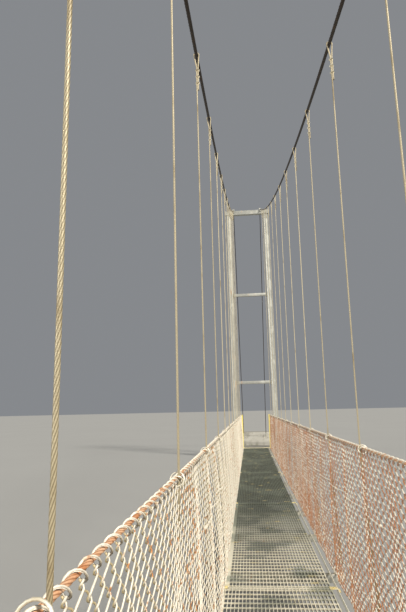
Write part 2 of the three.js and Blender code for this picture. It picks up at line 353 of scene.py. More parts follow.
def ring(mesh, centre, across, up, radius, wire_radius, steps, sides):
    """A closed ring of round wire in the plane of two directions."""
    points = arc(centre, radius, 0, 360, steps, across, up)
    made = wire(mesh, points, wire_radius, sides, Vector(across).cross(Vector(up)))
    bmesh.ops.remove_doubles(mesh, verts=made, dist=wire_radius * 0.05)


def finish_piece(name, mesh, finish, smooth=True, replaced=(), angle=None):
    """Turns a mesh into a piece that rides on the bridge and stands for frame nodes."""
    bmesh.ops.recalc_face_normals(mesh, faces=mesh.faces)
    for face in mesh.faces:
        face.smooth = smooth
    data = bpy.data.meshes.new(name)
    mesh.to_mesh(data)
    mesh.free()
    data.materials.append(finish)
    if angle is not None:
        data.set_sharp_from_angle(angle=math.radians(angle))
    piece = bpy.data.objects.new(name, data)
    bpy.context.scene.collection.objects.link(piece)
    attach(piece, "root")
    if replaced:
        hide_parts(*replaced)
    return piece


def eased_copy(node, bevel, segments=1):
    """A mesh of a frame node's shape, merged, with its flat faces whole and its edges eased."""
    mesh = bmesh.new()
    mesh.from_mesh(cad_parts[node].data)
    bmesh.ops.remove_doubles(mesh, verts=mesh.verts, dist=1e-5)
    bmesh.ops.dissolve_limit(mesh, angle_limit=math.radians(1), verts=mesh.verts, edges=mesh.edges)
    sharp = [edge for edge in mesh.edges if edge.is_manifold and edge.calc_face_angle(0) > math.radians(35)]
    ease(mesh, sharp, bevel, segments)
    return mesh


# Finishes


class Value:
    """A number that changes over a surface, which Python's own arithmetic works on."""

    def __init__(self, finish, socket):
        self.finish = finish
        self.socket = socket

    def _math(self, operation, first, second):
        node = self.finish.node("ShaderNodeMath", {"operation": operation}, {0: first, 1: second})
        return Value(self.finish, node.outputs[0])

    def __add__(self, other):
        return self._math("ADD", self, other)

    def __radd__(self, other):
        return self._math("ADD", other, self)

    def __sub__(self, other):
        return self._math("SUBTRACT", self, other)

    def __rsub__(self, other):
        return self._math("SUBTRACT", other, self)

    def __mul__(self, other):
        return self._math("MULTIPLY", self, other)

    def __rmul__(self, other):
        return self._math("MULTIPLY", other, self)

    def waves(self, length):
        """Rises from 0 to half the length and falls back, again and again."""
        return self._math("PINGPONG", self, length / 2)

    def rises(self, low, high):
        """0 below low, 1 above high, and a smooth step between."""
        node = self.finish.node(
            "ShaderNodeMapRange", {"interpolation_type": "SMOOTHSTEP"}, {0: self, 1: low, 2: high}
        )
        return Value(self.finish, node.outputs[0])


class Finish:
    """A material with one main shader, built from nodes."""

    def __init__(self, name):
        self.material = bpy.data.materials.new(name)
        self.material.use_nodes = True
        self.nodes = self.material.node_tree.nodes
        self.links = self.material.node_tree.links
        self.shader = next(node for node in self.nodes if node.type == "BSDF_PRINCIPLED")
        self.place = self.node("ShaderNodeTexCoord").outputs["Object"]

    def node(self, kind, settings=None, inputs=None):
        """A node with its settings made first, then the values or links of its sockets."""
        node = self.nodes.new(kind)
        for name, setting in (settings or {}).items():
            setattr(node, name, setting)
        for key, given in (inputs or {}).items():
            self.feed(node.inputs[key], given)
        return node

    def feed(self, socket, given):
        """Links a socket to what changes over the surface, or sets it to a number or an opaque colour."""
        if isinstance(given, Value):
            self.links.new(given.socket, socket)
        elif isinstance(given, bpy.types.NodeSocket):
            self.links.new(given, socket)
        elif socket.type == "RGBA":
            socket.default_value = (*given[:3], 1.0)
        else:
            socket.default_value = given

    def attribute(self, name):
        """A number stored on the mesh."""
        return Value(self, self.node("ShaderNodeAttribute", {"attribute_name": name}).outputs["Fac"])

    def along(self):
        """Place along the bridge."""
        return Value(self, self.node("ShaderNodeSeparateXYZ", None, {0: self.place}).outputs["Y"])

    def height(self):
        """Height over the ground."""
        return Value(self, self.node("ShaderNodeSeparateXYZ", None, {0: self.place}).outputs["Z"])

    def noise(self, scale, detail, squash=1.0):
        """Uneven patches of about 1/scale metres, drawn out upwards where squash is under 1."""
        place = self.place
        if squash != 1.0:
            inputs = {0: place, 1: (1.0, 1.0, squash)}
            place = self.node("ShaderNodeVectorMath", {"operation": "MULTIPLY"}, inputs).outputs[0]
        inputs = {"Vector": place, "Scale": scale, "Detail": detail, "Roughness": 0.55}
        return Value(self, self.node("ShaderNodeTexNoise", None, inputs).outputs[0])

    def mix(self, share, first, second):
        """First colour where share is 0, second where it is 1."""
        colours = {0: share, 6: first, 7: second}
        return self.node("ShaderNodeMix", {"data_type": "RGBA"}, colours).outputs[2]

    def bump(self, height, distance):
        node = self.node("ShaderNodeBump", None, {"Height": height, "Distance": distance})
        self.links.new(node.outputs[0], self.shader.inputs["Normal"])

    def surface(self, colour, roughness, metallic):
        """Feeds the shader. Returns the finished material."""
        for name, given in (("Base Color", colour), ("Roughness", roughness), ("Metallic", metallic)):
            self.feed(self.shader.inputs[name], given)
        return self.material


def shade(colour, amount):
    """A colour made lighter or darker by a factor."""
    return tuple(min(channel * amount, 1.0) for channel in colour[:3])


def rusting_wire(name, zinc, rust, rust_low, rust_high, grain, rear_shade=None, rubbed=0.0):
    """Galvanised wire that is zinc where the noise is under rust_low and rusty where it is over rust_high.

    The rear colour darkens what the mesh marks as behind: painted shade on the outer wires. In a net,
    rubbed adds rust to the inner wires where they hook round each other.
    """
    finish = Finish(name)
    patches = finish.noise(grain, 4)
    spread = finish.noise(1.3, 2)
    worn = patches * 0.7 + spread * 0.3
    if rubbed:
        hooks = 1 - finish.attribute("row").waves(1.0).rises(0.1, 0.4)
        worn = worn + rubbed * hooks * (1 - finish.attribute("behind"))
    rusty = worn.rises(rust_low, rust_high)
    tone = finish.noise(90, 2).rises(0.3, 0.7)
    zinc_colour = finish.mix(tone, shade(zinc, 0.82), zinc)
    rust_colour = finish.mix(tone, shade(rust, 0.6), shade(rust, 1.25))
    finish.bump(finish.noise(700, 2), 0.0004)
    colour = finish.mix(rusty, zinc_colour, rust_colour)
    # Painted shade: wires marked as behind are tinted towards the darker rear colour.
    if rear_shade:
        colour = finish.mix(finish.attribute("behind") * 0.85, colour, rear_shade)
    return finish.surface(colour, 0.45 + rusty * 0.35, 0.15 - rusty * 0.1)


def rope_finish(name, strand, grime_and_shade, grime_low, roughness, metallic, dull_and_shaded_below=None):
    """Wire rope with dirt between its strands and in streaks. Below a height it is painted brown and dull:
    rust with painted shade.
    """
    finish = Finish(name)
    groove = finish.attribute("groove").rises(0.35, 0.95)
    streaks = finish.noise(14, 4, squash=0.35).rises(grime_low, grime_low + 0.22)
    fine = finish.noise(260, 3)
    colour = finish.mix(streaks, strand, grime_and_shade)
    colour = finish.mix(fine.rises(0.35, 0.75) * 0.35, colour, shade(strand, 1.3))
    if dull_and_shaded_below:
        # Painted shade with rust: below the given height the rope turns darker brown.
        low = 1 - finish.height().rises(dull_and_shaded_below - 0.12, dull_and_shaded_below)
        colour = finish.mix(low * 0.8, colour, shade(grime_and_shade, 0.8))
    colour = finish.mix(groove * 0.8, colour, shade(grime_and_shade, 0.55))
    finish.bump(fine, 0.0006)
    return finish.surface(colour, roughness + streaks * 0.15, metallic)


def steel_finish(name, base, worn, stain, stain_low=0.56, scale=6.0, metallic=0.45, trodden_and_sunlit=None):
    """Weathered galvanised steel: zinc blotches, worn places, drips of stain and a sill painted lighter,
    for wear and painted sunlight.
    """
    finish = Finish(name)
    blotch = finish.noise(scale * 6, 2).rises(0.35, 0.65)
    wear = finish.noise(scale, 5).rises(0.46, 0.66)
    drips = finish.noise(scale * 2, 4, squash=0.18).rises(stain_low, stain_low + 0.16)
    colour = finish.mix(blotch * 0.6, base, shade(base, 1.28))
    colour = finish.mix(wear * 0.7, colour, worn)
    colour = finish.mix(drips * 0.75, colour, stain)
    # Painted sunlight with wear: the sill, below this height, takes a lighter colour.
    if trodden_and_sunlit:
        above_sill = finish.height().rises(WALK_TOP + 0.014, WALK_TOP + 0.02)
        colour = finish.mix(above_sill, trodden_and_sunlit, colour)
    finish.bump(finish.noise(240, 4), 0.0006)
    return finish.surface(colour, 0.42 + wear * 0.2 + drips * 0.2, metallic)


def grating_finish(name, sunlit_cream, shaded_green, far_shade, stain, far_shade_from):
    """Bar grating in painted dappled light: cream painted sunlight flecks on grey-green painted shade. The
    flecks thin out until all of it is painted dark, as shade, at far_shade_from.

    Dirt and painted shade darken the bars from just under the tread downwards.
    """
    finish = Finish(name)
    # Painted shade: the grating darkens towards the far panels, to the far shade colour.
    far_shade_share = finish.along().rises(far_shade_from - 4.0, far_shade_from)
    ground = finish.mix(far_shade_share, shaded_green, far_shade)
    light = finish.mix(far_shade_share, sunlit_cream, shade(far_shade, 1.5))
    # Painted dappled light: this mixes cream sunlight flecks into the grey-green shade, fewer towards the
    # far panels.
    wear = (finish.noise(1.8, 5) - far_shade_share * 0.1).rises(0.38, 0.5)
    spots = finish.noise(5.0, 4).rises(0.6, 0.72)
    grain = finish.noise(60, 3).rises(0.3, 0.7)
    colour = finish.mix(wear, ground, light)
    colour = finish.mix(spots * 0.6, colour, stain)
    colour = finish.mix(grain * 0.25, colour, shade(shaded_green, 0.8))
    # Dirt and painted shade: the bars darken from just under the tread downwards.
    grime_and_shade = 1 - finish.height().rises(WALK_TOP - 0.018, WALK_TOP - 0.005)
    colour = finish.mix(grime_and_shade * 0.92, colour, shade(far_shade, 0.22))
    finish.bump(finish.noise(240, 4), 0.0006)
    return finish.surface(colour, 0.5 + wear * 0.15, 0.1)


def concrete_finish(name, base, dark, moss, board):
    """Cast concrete with board marks every board metres up, pores, damp and a little green."""
    finish = Finish(name)
    height = finish.height()
    seam = 1 - height.waves(board).rises(0.0, 0.006)
    cloud = finish.noise(2.2, 6).rises(0.35, 0.7)
    damp = finish.noise(3.5, 5, squash=0.3).rises(0.5, 0.72)
    low = 1 - height.rises(0.02, 0.22)
    green = (damp * low).rises(0.1, 0.9)
    pores = finish.node("ShaderNodeTexVoronoi", {"feature": "F1"}, {"Vector": finish.place, "Scale": 70.0})
    pits = 1 - Value(finish, pores.outputs["Distance"]).rises(0.06, 0.16)
    sand = finish.noise(320, 4)
    colour = finish.mix(cloud * 0.7, base, shade(base, 0.78))
    colour = finish.mix(damp * 0.6, colour, dark)
    colour = finish.mix(green * 0.6, colour, moss)
    colour = finish.mix(seam * 0.55, colour, dark)
    colour = finish.mix(pits * 0.5, colour, shade(dark, 0.7))
    finish.bump(sand * 0.5 - pits * 1.2 - seam * 1.5 + cloud * 0.6, 0.002)
    return finish.surface(colour, 0.86 + sand * 0.1, 0.0)


def floor_finish(name, colour):
    """A plain floor with faint clouds in its tone."""
    finish = Finish(name)
    cloud = finish.noise(0.15, 2).rises(0.3, 0.7)
    return finish.surface(finish.mix(cloud, colour, shade(colour, 0.97)), 0.9, 0.0)


# Settings


def length_property(name, description, default):
    return bpy.props.FloatProperty(name=name, description=description, default=default, unit="LENGTH")


def number_property(name, description, default, unit="NONE"):
    return bpy.props.FloatProperty(name=name, description=description, default=default, unit=unit)


def count_property(name, description, default):
    return bpy.props.IntProperty(name=name, description=description, default=default)


def direction_property(name, description, default):
    return bpy.props.FloatVectorProperty(
        name=name, description=description, default=default, subtype="DIRECTION", size=3
    )


def colour_property(name, description, default):
    return bpy.props.FloatVectorProperty(
        name=name, description=description, default=default, subtype="COLOR", size=3, min=0.0, max=1.0
    )


class BridgeRopes(bpy.types.PropertyGroup):
    """Sizes of the ropes and their fittings"""

    main_diameter: length_property("Main Cable", "Diameter of the two main cables", 0.032)
    main_lay: length_property("Main Cable Lay", "Length of one turn of a main cable's strands", 0.24)
    hanger_diameter: length_property("Hanger", "Diameter of the hanger ropes", 0.012)
    hanger_lay: length_property("Hanger Lay", "Length of one turn of a hanger's strands", 0.096)
    rail_diameter: length_property("Handrail Cable", "Diameter of the handrail cables", 0.016)
    rail_lay: length_property("Handrail Lay", "Length of one turn of a handrail cable's strands", 0.16)
    lacing_wire: length_property("Lacing Wire", "Diameter of the wire that laces net and handrail", 0.007)
    detail_from: count_property("Strands From", "First station whose hangers show their strands", 4)
    detail_to: count_property("Strands To", "Last station whose hangers show their strands", 7)


class BridgeNets(bpy.types.PropertyGroup):
    """Sizes of the woven side nets"""

    diamond_length: length_property("Diamond Length", "Length of a diamond along the bridge", 0.09)
    rows: count_property("Half Rows", "Half diamonds from the foot of the net to the handrail", 35)
    wire: length_property("Left Wire", "Diameter of the left net's wire", 0.0057)
    rusty_wire: length_property("Right Wire", "Diameter of the right net's wire", 0.0066)
    level_wire: length_property("Level Wire", "Diameter of the level wires through the net", 0.0075)
    depth: length_property("Spiral Depth", "Depth of a wire's flattened spiral", 0.009)
    hook: number_property("Left Hook", "Share of a half row in which a left wire turns round the next", 0.5)
    rusty_hook: number_property("Right Hook", "Share of a half row in which a right wire turns", 0.2)
    bulge: length_property("Bulge", "How far the slack net stands out of its plane", 0.03)


class BridgeWalkway(bpy.types.PropertyGroup):
    """Sizes of the bar grating"""

    bar_pitch: length_property("Bar Pitch", "Distance between bars along the bridge", 0.031)
    bar_thickness: length_property("Bar Thickness", "Thickness of the bars along the bridge", 0.0065)
    cross_pitch: length_property("Cross Bar Pitch", "Distance between cross bars", 0.1)
    cross_depth: length_property("Cross Bar Depth", "Depth of the cross bars", 0.014)
    edge_plate: length_property("Edge Plate", "Width of the plate along the left edge of one panel", 0.035)


class BridgeColours(bpy.types.PropertyGroup):
    """Colours of the finishes"""

    cream_zinc: colour_property("Cream Zinc", "Galvanised wire of the left net", (0.86, 0.8, 0.67))
    dull_zinc: colour_property("Dull Zinc", "Galvanised wire of the right net", (0.86, 0.79, 0.66))
    rust: colour_property("Rust", "Rust on wires", (0.52, 0.235, 0.085))
    net_rust: colour_property("Net Rust", "Rust on the right net", (0.5, 0.2, 0.075))
    # These two darker colours are painted shade on the nets' outer wires and the lacing's lower outer half.
    shaded_rear_zinc: colour_property("Rear Zinc", "Outer wires of the left net", (0.5, 0.4, 0.2))
    shaded_outer_zinc: colour_property("Shaded Outer Zinc", "Outer wires of the right net", (0.4, 0.36, 0.3))
    rail_rust: colour_property("Handrail Rust", "Rust on the handrail cables", (0.72, 0.44, 0.26))
    rail_grime: colour_property("Handrail Grime", "Darker rust between its strands", (0.52, 0.19, 0.06))
    rope: colour_property("Hanger Rope", "Pale strands of the hangers", (0.53, 0.46, 0.31))
    rope_grime: colour_property("Hanger Grime", "Dirt between the hangers' strands", (0.3, 0.23, 0.12))
    dark_cable: colour_property("Main Cable", "Greased strands of the main cables", (0.035, 0.028, 0.022))
    cable_grime: colour_property("Main Cable Grime", "Brown streaks on them", (0.12, 0.075, 0.04))
    # Grating colours as painted light: the grey-green patches are painted shade, the cream bars painted
    # sunlight, and the older grey-green painted shade over the far panels.
    grating: colour_property("Grating", "Grey-green patches of the newer panels", (0.42, 0.43, 0.34))
    cream_worn_and_sunlit: colour_property("Grating Worn", "Cream bars of the newer panels", (0.88, 0.82, 0.66))
    far_shaded_grating: colour_property("Far Shaded Grating", "Grey-green bars of the older panels", (0.125, 0.14, 0.11))
    clip_yellow: colour_property("Clips", "Yellowish clips and edge plate", (0.8, 0.66, 0.3))
    steel: colour_property("Steel", "Galvanised posts, beams and plates", (0.4, 0.4, 0.36))
    end_steel: colour_property("End Frame", "Sunlit steel of the end frames", (0.68, 0.57, 0.15))
    # The sill colour is painted sunlight with wear.
    sunlit_trodden_sill: colour_property("End Sill", "Trodden sills of the end frames", (1.0, 0.9, 0.62))
    concrete: colour_property("Concrete", "Cast concrete", (0.36, 0.345, 0.3))
    damp: colour_property("Damp", "Damp streaks on the concrete", (0.16, 0.15, 0.12))
    moss: colour_property("Moss", "Green near the foot of the concrete", (0.13, 0.15, 0.06))
    floor: colour_property("Floor", "Pale studio floor", (0.3, 0.3, 0.29))


class BridgeView(bpy.types.PropertyGroup):
    """Camera and light of the studio"""

    ahead: length_property("Camera Run", "Run at which the camera stands", 5.15)
    across: length_property("Camera Across", "Camera's place across the walkway", -0.243)
    eye: length_property("Camera Height", "Camera's height over the walkway", 1.587)
    yaw: number_property("Yaw", "Turn of the view towards +X", -0.0875, "ROTATION")
    pitch: number_property("Pitch", "Upward tilt of the view", 0.2065, "ROTATION")
    roll: number_property("Roll", "Roll of the view", -0.0226, "ROTATION")
    lens: number_property("Lens", "Focal length in millimetres", 28.8)
    sun: number_property("Key Light", "Strength of the key light", 4.6)
    sun_from: direction_property("Light From", "Where the key light comes from", (0.55, -0.5, 0.67))
    low_sun: number_property("Low Light", "Strength of the low side light", 1.8)
    low_from: direction_property("Low Light From", "Where the low light comes from", (-0.82, -0.5, 0.24))
    sky: number_property("Fill Light", "Strength of the light all round", 0.25)


# Operators


def main_cable_route(side):
    """Centre line of a main cable, from anchor block to anchor block."""
    x = side * CABLE_X

    def at(run, height):
        return Vector((x, y_of(run), height))

    def saddle(tower_run, away, slope):
        along = SADDLE_REACH / math.hypot(1, slope)
        first = at(tower_run + away * along, cable_height(tower_run) - along * slope)
        top = at(tower_run, cable_height(tower_run))
        last = at(tower_run - away * SADDLE_REACH, cable_height(tower_run - away * SADDLE_REACH))
        steps = 8
        shares = [step / steps for step in range(steps + 1)]
        return [first * (1 - s) ** 2 + top * 2 * s * (1 - s) + last * s * s for s in shares]

    def anchor(tower_run, away, slope):
        reach = (cable_height(tower_run) - ANCHOR_FACE_HEIGHT) / slope
        return at(tower_run + away * reach, ANCHOR_FACE_HEIGHT)

    near, far = BACKSTAY_SLOPES["near"], BACKSTAY_SLOPES["far"]
    points = [anchor(NEAR_TOWER_RUN, -1, near)] + saddle(NEAR_TOWER_RUN, -1, near)
    points += [at(half * BAY / 2, cable_height(half * BAY / 2)) for half in range(2 * BAYS + 1)]
    points += saddle(FAR_TOWER_RUN, 1, far)[::-1] + [anchor(FAR_TOWER_RUN, 1, far)]
    return Route(points, (1, 0, 0))


class BRIDGE_OT_main_cables(bpy.types.Operator):
    """Lay the two main cables from anchor block to anchor block"""

    bl_idname = "bridge.main_cables"
    bl_label = "Main Cables"

    def execute(self, context):
        ropes, colours = context.scene.bridge_ropes, context.scene.bridge_colours
        finish = rope_finish("greased main cable", colours.dark_cable, colours.cable_grime, 0.55, 0.5, 0.35)
        for name, side in SIDES:
            mesh = laid_rope(main_cable_route(side), ropes.main_diameter / 2, ropes.main_lay, 0.08)
            nodes = (f"{name}_main_cable", f"{name}_near_backstay", f"{name}_far_backstay")
            finish_piece(f"{name}_main_rope", mesh, finish, replaced=nodes)
        return {"FINISHED"}


def hanger_points(side, y, top, steps):
    """Centre line of a hanger: tail, loop round the pin, standing part, loop over the main cable, tail.

    The standing part is lashed to the inner face of the handrail cable.
    """
    x = side * CABLE_X
    tail = x + ROPE_PAIR
    lashed = rail_x(side, WALK_LENGTH / 2) - side * ROPE_TOUCH
    touch = 0.015
    low_throat, low_tail, low_lean, low_radius = PIN_Z + 0.075, PIN_Z + 0.3, PIN_Z + 0.35, 0.016
    high_throat, high_tail, high_lean, high_radius = top - 0.13, top - 0.36, top - 0.4, 0.0225
    points = [(tail, y, low_tail), (tail, y, low_throat)]
    points += arc((x, y, PIN_Z), low_radius, 0, -180, steps, ACROSS, UP)
    points += [(x, y, low_throat), (x, y, low_lean)]
    points += [(lashed, y, RAIL_Z - touch), (lashed, y, RAIL_Z + touch)]
    points += [(x, y, high_lean), (x, y, high_throat)]
    points += arc((x, y, top), high_radius, 180, 0, steps, ACROSS, UP)
    points += [(tail, y, high_throat), (tail, y, high_tail)]
    return points


class BRIDGE_OT_hangers(bpy.types.Operator):
    """String the hanger ropes, looped over the main cables and round the pins of the cross beams"""

    bl_idname = "bridge.hangers"
    bl_label = "Hangers"

    def execute(self, context):
        ropes, colours = context.scene.bridge_ropes, context.scene.bridge_colours
        # Below the handrail the hangers turn darker: rust with painted shade.
        finish = rope_finish(
            "pale hanger rope", colours.rope, colours.rope_grime, 0.5, 0.5, 0.3, dull_and_shaded_below=RAIL_Z - 0.05
        )
        radius = ropes.hanger_diameter / 2
        close, further = bmesh.new(), bmesh.new()
        for station in STATIONS:
            y, top = y_of(station * BAY), cable_height(station * BAY)
            stranded = ropes.detail_from <= station <= ropes.detail_to
            for _, side in SIDES:
                points = hanger_points(side, y, top, 10 if stranded else 6)
                if stranded:
                    add_to(close, laid_rope(Route(points, ALONG), radius, ropes.hanger_lay, 0.006))
                else:
                    wire(further, points, radius, 6, ALONG)
        fill_ends(further)
        finish_piece("hanger_ropes_close", close, finish)
        finish_piece("hanger_ropes_further", further, finish)
        return {"FINISHED"}


def rope_clip(mesh, size):
    """A saddle, a U bolt and two nuts that grip a pair of ropes at the origin. Returns the clip."""
    leg, tip = 1.25 * size, 2.4 * size
    seat, nut_top = 1.5 * size, 2.1 * size
    box(mesh, (-1.7 * size, 0.55 * size, -0.9 * size), (1.7 * size, seat, 0.9 * size), bevel=0.25 * size)
    bow = arc((0, -0.1 * size, 0), leg, 180, 360, 6, ACROSS, ALONG)
    wire(mesh, [(-leg, tip, 0), *bow, (leg, tip, 0)], 0.27 * size, 5, UP)
    fill_ends(mesh)
    for across in (-leg, leg):
        rod(mesh, (across, seat, 0), (across, nut_top, 0), 0.52 * size, 6)
    return whole(mesh.verts)


class BRIDGE_OT_hanger_fittings(bpy.types.Operator):
    """Fit rope clips to the hangers, and lash each hanger to the handrail cable"""

    bl_idname = "bridge.hanger_fittings"
    bl_label = "Hanger Fittings"

    def execute(self, context):
        ropes, colours = context.scene.bridge_ropes, context.scene.bridge_colours
        finish = steel_finish("pale rope clips", colours.cream_zinc, colours.rope, colours.rust, 0.6, 20.0)
        clips = bmesh.new()
        clip = rope_clip(clips, CLIP_SIZE)
        for station in STATIONS:
            top = cable_height(station * BAY)
            heights = [PIN_Z + rise for rise in LOW_CLIPS] + [top - drop for drop in HIGH_CLIPS]
            for _, side in SIDES:
                for height in heights:
                    copy(clips, clip, (side * CABLE_X + ROPE_PAIR / 2, y_of(station * BAY), height))
        bmesh.ops.delete(clips, geom=clip, context="VERTS")
        finish_piece("hanger_rope_clips", clips, finish, angle=40)

        lashings = bmesh.new()
        for _, side in SIDES:
            middle = rail_x(side, WALK_LENGTH / 2) - side * ROPE_TOUCH / 2
            for lean, radius, rise in LASHING_TURNS:
                centre, tilt = (middle, 0, RAIL_Z + rise), Vector((0, lean, 1)).normalized()
                ring(lashings, centre, ACROSS, tilt, radius, ropes.lacing_wire / 2, 18, 5)
        template = whole(lashings.verts)
        for station in STATIONS:
            slip = 0.0 if station % 2 else LASHING_SLIP
            copy(lashings, template, (0, y_of(station * BAY) + slip, 0))
        bmesh.ops.delete(lashings, geom=template, context="VERTS")
        finish_piece("handrail_lashings", lashings, finish)
        return {"FINISHED"}


class BRIDGE_OT_cross_beams(bpy.types.Operator):
    """Build the cross beams, with end caps and the lugs and pins that the hangers hold"""

    bl_idname = "bridge.cross_beams"
    bl_label = "Cross Beams"

    def execute(self, context):
        colours = context.scene.bridge_colours
        finish = steel_finish("galvanised cross beams", colours.steel, colours.cream_worn_and_sunlit, colours.rust)
        cap, cap_step = 0.004, 0.002
        lug_inner, lug_outer, lug_half, lug_cover = 0.009, 0.017, 0.022, 0.02
        pin_radius, pin_half, head_radius, head = 0.0085, 0.02, 0.0125, 0.007
        mesh = bmesh.new()
        y = y_of(BAY)
        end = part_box(BEAM_NODES[0])[1].x
        half_width, bottom = BEAM_WIDTH / 2, BEAM_TOP - BEAM_DEPTH
        box(mesh, (-end + cap, y - half_width, bottom), (end - cap, y + half_width, BEAM_TOP), 0.006, 2)
        for _, side in SIDES:
            box(mesh, (side * (end - cap), y - half_width + cap_step, bottom + cap_step),
                (side * end, y + half_width - cap_step, BEAM_TOP - cap_step), bevel=0.001)
            x = side * CABLE_X
            for lug in (-1, 1):
                outer = y + lug * lug_outer
                box(mesh, (x - lug_half, y + lug * lug_inner, BEAM_TOP - 0.001),
                    (x + lug_half, outer, PIN_Z + lug_cover), bevel=0.004)
                rod(mesh, (x, outer, PIN_Z), (x, outer + lug * head, PIN_Z), head_radius, 6)
            rod(mesh, (x, y - pin_half, PIN_Z), (x, y + pin_half, PIN_Z), pin_radius, 12)
        repeat(mesh, whole(mesh.verts), (0, BAY, 0), len(STATIONS))
        finish_piece("cross_beams", mesh, finish, replaced=BEAM_NODES, angle=40)
        return {"FINISHED"}


class BRIDGE_OT_grating(bpy.types.Operator):
    """Weld the grating panels from bars along the bridge and cross bars"""

    bl_idname = "bridge.grating"
    bl_label = "Grating"

    def execute(self, context):
        walkway, colours = context.scene.bridge_walkway, context.scene.bridge_colours
        # The grating's cream and grey-green are painted sunlight and shade, and its far panels are painted
        # shade.
        finish = grating_finish(
            "grating in painted dappled light", colours.cream_worn_and_sunlit, colours.grating, colours.far_shaded_grating,
            colours.clip_yellow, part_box(PANELS[PLATED_PANEL])[0].y,
        )
        thick = walkway.bar_thickness
        overhang, plate = 0.006, 0.006
        cross_half, bar_sunk, end_sunk = 0.0025, 0.0002, 0.0005
        for number, node in enumerate(PANELS, 1):
            low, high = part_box(node)
            mesh = bmesh.new()
            first = low.x + overhang
            if number == PLATED_PANEL:
                first = low.x + walkway.edge_plate
                box(mesh, (low.x, low.y, high.z - plate), (first, high.y, high.z), bevel=0.0015)
            width = high.x - overhang - first
            count = round(width / walkway.bar_pitch) + 1
            pitch = (width - thick) / (count - 1)
            bar = box(mesh, (first, low.y, low.z), (first + thick, high.y, high.z - bar_sunk))
            repeat(mesh, whole(bar), (pitch, 0, 0), count)
            spaces = math.floor((high.y - low.y) / walkway.cross_pitch)
            start = (low.y + high.y) / 2 - spaces * walkway.cross_pitch / 2
            cross = box(mesh, (low.x, start - cross_half, high.z - walkway.cross_depth),
                        (high.x, start + cross_half, high.z))
            repeat(mesh, whole(cross), (0, walkway.cross_pitch, 0), spaces + 1)
            for edge in (low.y, high.y - thick):
                box(mesh, (low.x, edge, low.z), (high.x, edge + thick, high.z - end_sunk))
            name = f"bar_grating_{number}"
            finish_piece(name, mesh, finish, smooth=False, replaced=(node,))
        return {"FINISHED"}


class BRIDGE_OT_side_bars(bpy.types.Operator):
    """Fit the flat bars along the walkway, and a clip and bolt at the edges of each panel joint"""

    bl_idname = "bridge.side_bars"
    bl_label = "Side Bars"

    def execute(self, context):
        colours = context.scene.bridge_colours
        # The side bars take the cream of the sunlit grating: painted sunlight.
        finish = steel_finish(
            "side bars in painted sunlight", colours.cream_worn_and_sunlit, colours.cream_zinc, colours.rust, 0.62, 6.0, 0.1
        )
        for name, _ in SIDES:
            node = f"{name}_deck_side_bar"
            mesh = eased_copy(node, 0.0012)
            finish_piece(f"{name}_side_bar", mesh, finish, replaced=(node,), angle=30)

        finish = steel_finish(
            "yellow clips", colours.clip_yellow, colours.cream_zinc, colours.rust, 0.62, 12.0, 0.2
        )
        clips = bmesh.new()
        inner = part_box("left_deck_side_bar")[1].x
        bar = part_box("right_deck_side_bar")
        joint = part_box(PANELS[1])[0].y - PANEL_GAP / 2
        pad_half, pad_sunk, pad_top = 0.03, 0.0005, WALK_TOP + 0.004
        bolt_radius, bolt_top = 0.009, WALK_TOP + 0.012
        for low, high in ((inner, inner + 0.03), (WALK_HIGH.x - 0.02, bar[0].x)):
            middle = (low + high) / 2
            box(clips, (low, joint - pad_half, WALK_TOP - pad_sunk),
                (high, joint + pad_half, pad_top), bevel=0.001)
            rod(clips, (middle, joint, pad_top), (middle, joint, bolt_top), bolt_radius, 6)
        angle_half, outer = 0.04, bar[1].x
        for reach, bottom, top in ((0.022, 0.022, 0.016), (0.006, 0.028, 0.002)):
            box(clips, (outer, joint - angle_half, WALK_TOP - bottom),
                (outer + reach, joint + angle_half, WALK_TOP - top), bevel=0.001)
        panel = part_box(PANELS[2])[0].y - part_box(PANELS[1])[0].y
        repeat(clips, whole(clips.verts), (0, panel, 0), len(PANELS) - 1)
        finish_piece("panel_clips", clips, finish, angle=40)
        return {"FINISHED"}


def net_place(side, run, height, out, bulge):
    """A place on a slack net: run along it, height as a share from foot to handrail, and out of its plane.

    The net hangs tightest at TIGHT_RUN and at every fourth bay from it. Two folds stand in each bay.
    """
    top = side * rail_x(side, run) - NET_INWARD
    lean = NET_FOOT_X + (top - NET_FOOT_X) * height
    hold = math.sin(math.pi * min(max(height, 0.02), 0.98)) ** 0.45
    phase = 0.9 * math.sin(run * 0.53 + side) + 0.5 * math.sin(height * 2.4 + run * 0.31)
    turn = 2 * math.pi * run / (BAY / 2) + phase
    folds = math.cos(turn) * 0.8 + math.cos(2 * turn + 0.7) * 0.25
    sway = math.sin(run * 1.31 + 2.0 * side + height) * 0.3
    slack = bulge * hold * (0.6 - 0.4 * math.cos(2 * math.pi * (run - TIGHT_RUN) / (4 * BAY)))
    stand = slack * (folds + sway - 0.6)
    gather = 0.5 * slack * math.sin(turn + 1.2)
    x = side * (lean + stand + out)
    return Vector((x, y_of(run + gather), NET_FOOT + (NET_TOPS[side] - NET_FOOT) * height))


def net_columns(nets):
    """Number of half diamonds along a net."""
    return round(WALK_LENGTH / nets.diamond_length) * 2


def net_wire_points(start, nets, width, thick, hook, bends):
    """One flattened spiral wire of a net as (along, out of the plane, row), bent at each side of each row.

    Each bend is given by a few points that turn round the next wire over a share of a row, the hook.
    """
    points = []
    for row in range(nets.rows + 1):
        forward = 1 if (row + start) % 2 else -1
        tip = (width / 2 + 0.55 * thick) * forward
        for bend in range(bends):
            turn = 2 * bend / (bends - 1) - 1
            along = tip * (1 - 0.3 * hook * (turn ** 2 - (bends - 1) ** -2))
            out = nets.depth / 2 * forward * math.sin(turn * math.pi / 2)
            points.append((along, out, row + turn * hook / 2))
    return points


